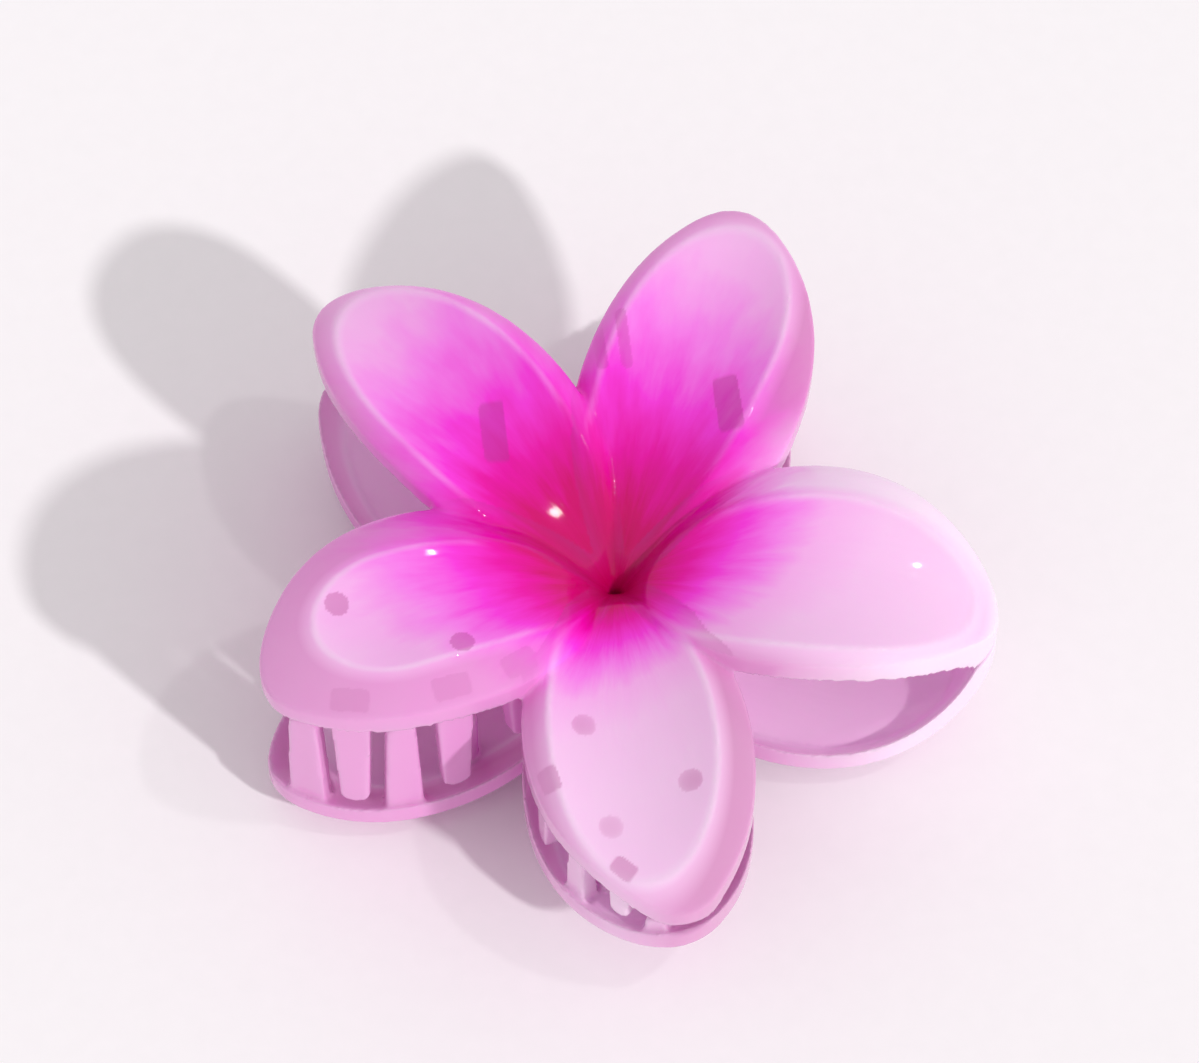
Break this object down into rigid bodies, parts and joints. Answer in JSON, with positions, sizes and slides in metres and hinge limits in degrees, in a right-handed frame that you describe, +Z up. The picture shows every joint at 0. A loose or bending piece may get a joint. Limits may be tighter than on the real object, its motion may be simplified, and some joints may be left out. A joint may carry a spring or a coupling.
{
  "type": "flower hair clip",
  "caption": "Double-sided flower hair claw: translucent pink flower halves with interleaved teeth, hinged on a steel pin and held shut by a torsion spring.",
  "frame": {"origin": "middle of the clip's box, on the surface that the lower flower stands on", "axes": "+Z up, square to the plane between the halves; +X along the hinge pin; +Y from the jaws towards the finger levers"},
  "size_m": [0.0778, 0.0798, 0.0302],
  "materials": {
    "petal_plastic": "translucent gloss, deep magenta at the throat to pale pink at the tips",
    "pin_steel": "plain, slightly bronzed",
    "spring_steel": "bright wire"
  },
  "bodies": {
    "base_half": {"lower_flower": "petal_plastic", "hinge_pin": "pin_steel", "torsion_spring": "spring_steel"},
    "opening_half": {"upper_flower": "petal_plastic"}
  },
  "joints": [
    {"name": "jaw_hinge", "type": "hinge", "parent": "base_half", "child": "opening_half", "pos_m": [0.00081, 0.01471, 0.01511], "axis": [-1, 0, 0], "range_deg": [0, 34], "stiffness_Nm_per_rad": 0.12, "springref_deg": -28.65, "deforming": ["torsion_spring"]}
  ]
}
